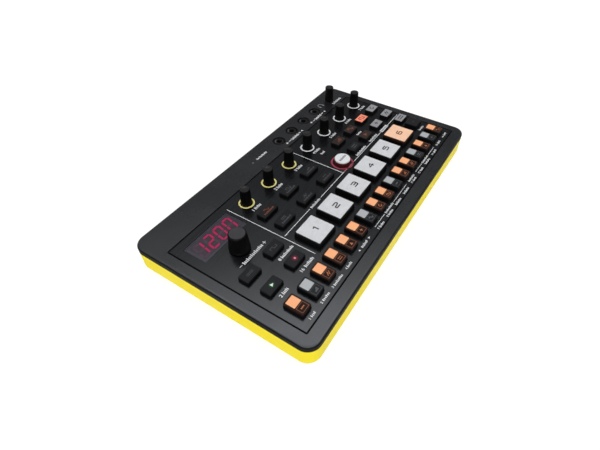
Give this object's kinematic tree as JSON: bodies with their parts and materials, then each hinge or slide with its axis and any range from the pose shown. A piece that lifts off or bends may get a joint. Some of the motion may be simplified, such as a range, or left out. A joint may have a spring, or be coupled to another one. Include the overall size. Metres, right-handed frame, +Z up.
{
  "type": "sampler",
  "caption": "Compact desk sampler with a charcoal upper case on a yellow lower case, slim knobs, square pads, a row of step keys, a digital display and sockets along the top and rear.",
  "frame": {"origin": "middle of the footprint, on the surface the part stands on", "axes": "+X along the long side to the right as the player sees it, +Y to the rear side with the power socket, +Z up"},
  "size_m": [0.188, 0.106, 0.0255],
  "materials": {
    "case_charcoal": "fine satin texture",
    "panel_charcoal": "smooth satin",
    "case_yellow": "fine satin texture",
    "board": "solder mask",
    "battery_wrap": "satin film",
    "screw_steel": "zinc plated",
    "foot_rubber": "matte",
    "value_knob_grey": "satin",
    "knob_black": "matte",
    "pad_white": "satin",
    "key_black": "satin",
    "key_grey": "satin",
    "button_white": "satin"
  },
  "bodies": {
    "case": {"top_case": "case_charcoal", "control_panel": "panel_charcoal", "bottom_case": "case_yellow", "circuit_board": "board", "battery_pack": "battery_wrap", "case_screws": "screw_steel", "rubber_feet": "foot_rubber"},
    "control_knob_1": {"control_knob_1": "knob_black"},
    "control_knob_2": {"control_knob_2": "knob_black"},
    "control_knob_3": {"control_knob_3": "knob_black"},
    "control_knob_4": {"control_knob_4": "knob_black"},
    "control_knob_5": {"control_knob_5": "knob_black"},
    "control_knob_6": {"control_knob_6": "knob_black"},
    "control_knob_7": {"control_knob_7": "knob_black"},
    "volume_knob": {"volume_knob": "knob_black"},
    "value_knob": {"value_knob": "value_knob_grey"},
    "pad_1": {"pad_1": "pad_white"},
    "pad_2": {"pad_2": "pad_white"},
    "pad_3": {"pad_3": "pad_white"},
    "pad_4": {"pad_4": "pad_white"},
    "pad_5": {"pad_5": "pad_white"},
    "pad_6": {"pad_6": "pad_white"},
    "step_key_01": {"step_key_01": "key_black"},
    "step_key_02": {"step_key_02": "key_black"},
    "step_key_03": {"step_key_03": "key_black"},
    "step_key_04": {"step_key_04": "key_black"},
    "step_key_05": {"step_key_05": "key_black"},
    "step_key_06": {"step_key_06": "key_black"},
    "step_key_07": {"step_key_07": "key_black"},
    "step_key_08": {"step_key_08": "key_black"},
    "step_key_09": {"step_key_09": "key_black"},
    "step_key_10": {"step_key_10": "key_black"},
    "step_key_11": {"step_key_11": "key_black"},
    "step_key_12": {"step_key_12": "key_black"},
    "step_key_13": {"step_key_13": "key_black"},
    "step_key_14": {"step_key_14": "key_black"},
    "step_key_15": {"step_key_15": "key_black"},
    "step_key_16": {"step_key_16": "key_black"},
    "shift_button": {"shift_button": "key_black"},
    "loop_button": {"loop_button": "key_black"},
    "play_button": {"play_button": "key_black"},
    "record_button": {"record_button": "key_black"},
    "function_button_1": {"function_button_1": "key_black"},
    "function_button_2": {"function_button_2": "key_black"},
    "function_button_3": {"function_button_3": "key_black"},
    "function_button_4": {"function_button_4": "key_black"},
    "function_button_5": {"function_button_5": "key_black"},
    "function_button_6": {"function_button_6": "key_black"},
    "page_button_1": {"page_button_1": "key_grey"},
    "page_button_2": {"page_button_2": "key_grey"},
    "page_button_3": {"page_button_3": "key_grey"},
    "page_button_4": {"page_button_4": "key_grey"},
    "page_button_5": {"page_button_5": "key_grey"},
    "page_button_6": {"page_button_6": "key_grey"},
    "page_button_7": {"page_button_7": "key_grey"},
    "page_button_8": {"page_button_8": "key_grey"},
    "side_button_upper": {"side_button_upper": "key_grey"},
    "side_button_lower": {"side_button_lower": "key_grey"},
    "sampling_button": {"sampling_button": "button_white"},
    "power_switch": {"power_switch": "key_black"}
  },
  "joints": [
    {"name": "control_knob_1_turn", "type": "hinge", "parent": "case", "child": "control_knob_1", "pos_m": [-0.04, 0.0241, 0.0145], "axis": [0, 0, -1], "range_deg": [-150, 150]},
    {"name": "control_knob_2_turn", "type": "hinge", "parent": "case", "child": "control_knob_2", "pos_m": [-0.02, 0.0241, 0.0145], "axis": [0, 0, -1], "range_deg": [-150, 150]},
    {"name": "control_knob_3_turn", "type": "hinge", "parent": "case", "child": "control_knob_3", "pos_m": [0, 0.0241, 0.0145], "axis": [0, 0, -1], "range_deg": [-150, 150]},
    {"name": "control_knob_4_turn", "type": "hinge", "parent": "case", "child": "control_knob_4", "pos_m": [0.02, 0.0241, 0.0145], "axis": [0, 0, -1], "range_deg": [-150, 150]},
    {"name": "control_knob_5_turn", "type": "hinge", "parent": "case", "child": "control_knob_5", "pos_m": [0.04, 0.0241, 0.0145], "axis": [0, 0, -1], "range_deg": [-150, 150]},
    {"name": "control_knob_6_turn", "type": "hinge", "parent": "case", "child": "control_knob_6", "pos_m": [0.06, 0.0241, 0.0145], "axis": [0, 0, -1], "range_deg": [-150, 150]},
    {"name": "control_knob_7_turn", "type": "hinge", "parent": "case", "child": "control_knob_7", "pos_m": [0.08, 0.0241, 0.0145], "axis": [0, 0, -1], "range_deg": [-150, 150]},
    {"name": "volume_knob_turn", "type": "hinge", "parent": "case", "child": "volume_knob", "pos_m": [0.0766, 0.0424, 0.0145], "axis": [0, 0, -1], "range_deg": [-150, 150]},
    {"name": "value_knob_turn", "type": "hinge", "parent": "case", "child": "value_knob", "pos_m": [-0.0668, 0.0066, 0.0145], "axis": [0, 0, -1], "continuous": true},
    {"name": "pad_1_press", "type": "slide", "parent": "case", "child": "pad_1", "axis": [0, 0, -1], "range_m": [0, 0.0009], "stiffness_N_per_m": 1200, "springref_m": -0.0003},
    {"name": "pad_2_press", "type": "slide", "parent": "case", "child": "pad_2", "axis": [0, 0, -1], "range_m": [0, 0.0009], "stiffness_N_per_m": 1200, "springref_m": -0.0003},
    {"name": "pad_3_press", "type": "slide", "parent": "case", "child": "pad_3", "axis": [0, 0, -1], "range_m": [0, 0.0009], "stiffness_N_per_m": 1200, "springref_m": -0.0003},
    {"name": "pad_4_press", "type": "slide", "parent": "case", "child": "pad_4", "axis": [0, 0, -1], "range_m": [0, 0.0009], "stiffness_N_per_m": 1200, "springref_m": -0.0003},
    {"name": "pad_5_press", "type": "slide", "parent": "case", "child": "pad_5", "axis": [0, 0, -1], "range_m": [0, 0.0009], "stiffness_N_per_m": 1200, "springref_m": -0.0003},
    {"name": "pad_6_press", "type": "slide", "parent": "case", "child": "pad_6", "axis": [0, 0, -1], "range_m": [0, 0.0009], "stiffness_N_per_m": 1200, "springref_m": -0.0003},
    {"name": "step_key_01_press", "type": "slide", "parent": "case", "child": "step_key_01", "axis": [0, 0, -1], "range_m": [0, 0.0009], "stiffness_N_per_m": 800, "springref_m": -0.0003},
    {"name": "step_key_02_press", "type": "slide", "parent": "case", "child": "step_key_02", "axis": [0, 0, -1], "range_m": [0, 0.0009], "stiffness_N_per_m": 800, "springref_m": -0.0003},
    {"name": "step_key_03_press", "type": "slide", "parent": "case", "child": "step_key_03", "axis": [0, 0, -1], "range_m": [0, 0.0009], "stiffness_N_per_m": 800, "springref_m": -0.0003},
    {"name": "step_key_04_press", "type": "slide", "parent": "case", "child": "step_key_04", "axis": [0, 0, -1], "range_m": [0, 0.0009], "stiffness_N_per_m": 800, "springref_m": -0.0003},
    {"name": "step_key_05_press", "type": "slide", "parent": "case", "child": "step_key_05", "axis": [0, 0, -1], "range_m": [0, 0.0009], "stiffness_N_per_m": 800, "springref_m": -0.0003},
    {"name": "step_key_06_press", "type": "slide", "parent": "case", "child": "step_key_06", "axis": [0, 0, -1], "range_m": [0, 0.0009], "stiffness_N_per_m": 800, "springref_m": -0.0003},
    {"name": "step_key_07_press", "type": "slide", "parent": "case", "child": "step_key_07", "axis": [0, 0, -1], "range_m": [0, 0.0009], "stiffness_N_per_m": 800, "springref_m": -0.0003},
    {"name": "step_key_08_press", "type": "slide", "parent": "case", "child": "step_key_08", "axis": [0, 0, -1], "range_m": [0, 0.0009], "stiffness_N_per_m": 800, "springref_m": -0.0003},
    {"name": "step_key_09_press", "type": "slide", "parent": "case", "child": "step_key_09", "axis": [0, 0, -1], "range_m": [0, 0.0009], "stiffness_N_per_m": 800, "springref_m": -0.0003},
    {"name": "step_key_10_press", "type": "slide", "parent": "case", "child": "step_key_10", "axis": [0, 0, -1], "range_m": [0, 0.0009], "stiffness_N_per_m": 800, "springref_m": -0.0003},
    {"name": "step_key_11_press", "type": "slide", "parent": "case", "child": "step_key_11", "axis": [0, 0, -1], "range_m": [0, 0.0009], "stiffness_N_per_m": 800, "springref_m": -0.0003},
    {"name": "step_key_12_press", "type": "slide", "parent": "case", "child": "step_key_12", "axis": [0, 0, -1], "range_m": [0, 0.0009], "stiffness_N_per_m": 800, "springref_m": -0.0003},
    {"name": "step_key_13_press", "type": "slide", "parent": "case", "child": "step_key_13", "axis": [0, 0, -1], "range_m": [0, 0.0009], "stiffness_N_per_m": 800, "springref_m": -0.0003},
    {"name": "step_key_14_press", "type": "slide", "parent": "case", "child": "step_key_14", "axis": [0, 0, -1], "range_m": [0, 0.0009], "stiffness_N_per_m": 800, "springref_m": -0.0003},
    {"name": "step_key_15_press", "type": "slide", "parent": "case", "child": "step_key_15", "axis": [0, 0, -1], "range_m": [0, 0.0009], "stiffness_N_per_m": 800, "springref_m": -0.0003},
    {"name": "step_key_16_press", "type": "slide", "parent": "case", "child": "step_key_16", "axis": [0, 0, -1], "range_m": [0, 0.0009], "stiffness_N_per_m": 800, "springref_m": -0.0003},
    {"name": "shift_button_press", "type": "slide", "parent": "case", "child": "shift_button", "axis": [0, 0, -1], "range_m": [0, 0.0009], "stiffness_N_per_m": 800, "springref_m": -0.0003},
    {"name": "loop_button_press", "type": "slide", "parent": "case", "child": "loop_button", "axis": [0, 0, -1], "range_m": [0, 0.0009], "stiffness_N_per_m": 800, "springref_m": -0.0003},
    {"name": "play_button_press", "type": "slide", "parent": "case", "child": "play_button", "axis": [0, 0, -1], "range_m": [0, 0.0009], "stiffness_N_per_m": 800, "springref_m": -0.0003},
    {"name": "record_button_press", "type": "slide", "parent": "case", "child": "record_button", "axis": [0, 0, -1], "range_m": [0, 0.0009], "stiffness_N_per_m": 800, "springref_m": -0.0003},
    {"name": "function_button_1_press", "type": "slide", "parent": "case", "child": "function_button_1", "axis": [0, 0, -1], "range_m": [0, 0.0009], "stiffness_N_per_m": 800, "springref_m": -0.0003},
    {"name": "function_button_2_press", "type": "slide", "parent": "case", "child": "function_button_2", "axis": [0, 0, -1], "range_m": [0, 0.0009], "stiffness_N_per_m": 800, "springref_m": -0.0003},
    {"name": "function_button_3_press", "type": "slide", "parent": "case", "child": "function_button_3", "axis": [0, 0, -1], "range_m": [0, 0.0009], "stiffness_N_per_m": 800, "springref_m": -0.0003},
    {"name": "function_button_4_press", "type": "slide", "parent": "case", "child": "function_button_4", "axis": [0, 0, -1], "range_m": [0, 0.0009], "stiffness_N_per_m": 800, "springref_m": -0.0003},
    {"name": "function_button_5_press", "type": "slide", "parent": "case", "child": "function_button_5", "axis": [0, 0, -1], "range_m": [0, 0.0009], "stiffness_N_per_m": 800, "springref_m": -0.0003},
    {"name": "function_button_6_press", "type": "slide", "parent": "case", "child": "function_button_6", "axis": [0, 0, -1], "range_m": [0, 0.0009], "stiffness_N_per_m": 800, "springref_m": -0.0003},
    {"name": "page_button_1_press", "type": "slide", "parent": "case", "child": "page_button_1", "axis": [0, 0, -1], "range_m": [0, 0.0009], "stiffness_N_per_m": 800, "springref_m": -0.0003},
    {"name": "page_button_2_press", "type": "slide", "parent": "case", "child": "page_button_2", "axis": [0, 0, -1], "range_m": [0, 0.0009], "stiffness_N_per_m": 800, "springref_m": -0.0003},
    {"name": "page_button_3_press", "type": "slide", "parent": "case", "child": "page_button_3", "axis": [0, 0, -1], "range_m": [0, 0.0009], "stiffness_N_per_m": 800, "springref_m": -0.0003},
    {"name": "page_button_4_press", "type": "slide", "parent": "case", "child": "page_button_4", "axis": [0, 0, -1], "range_m": [0, 0.0009], "stiffness_N_per_m": 800, "springref_m": -0.0003},
    {"name": "page_button_5_press", "type": "slide", "parent": "case", "child": "page_button_5", "axis": [0, 0, -1], "range_m": [0, 0.0009], "stiffness_N_per_m": 800, "springref_m": -0.0003},
    {"name": "page_button_6_press", "type": "slide", "parent": "case", "child": "page_button_6", "axis": [0, 0, -1], "range_m": [0, 0.0009], "stiffness_N_per_m": 800, "springref_m": -0.0003},
    {"name": "page_button_7_press", "type": "slide", "parent": "case", "child": "page_button_7", "axis": [0, 0, -1], "range_m": [0, 0.0009], "stiffness_N_per_m": 800, "springref_m": -0.0003},
    {"name": "page_button_8_press", "type": "slide", "parent": "case", "child": "page_button_8", "axis": [0, 0, -1], "range_m": [0, 0.0009], "stiffness_N_per_m": 800, "springref_m": -0.0003},
    {"name": "side_button_upper_press", "type": "slide", "parent": "case", "child": "side_button_upper", "axis": [0, 0, -1], "range_m": [0, 0.0009], "stiffness_N_per_m": 800, "springref_m": -0.0003},
    {"name": "side_button_lower_press", "type": "slide", "parent": "case", "child": "side_button_lower", "axis": [0, 0, -1], "range_m": [0, 0.0009], "stiffness_N_per_m": 800, "springref_m": -0.0003},
    {"name": "sampling_button_press", "type": "slide", "parent": "case", "child": "sampling_button", "axis": [0, 0, -1], "range_m": [0, 0.0009], "stiffness_N_per_m": 800, "springref_m": -0.0003},
    {"name": "power_switch_slide", "type": "slide", "parent": "case", "child": "power_switch", "axis": [1, 0, 0], "range_m": [0, 0.002]}
  ]
}
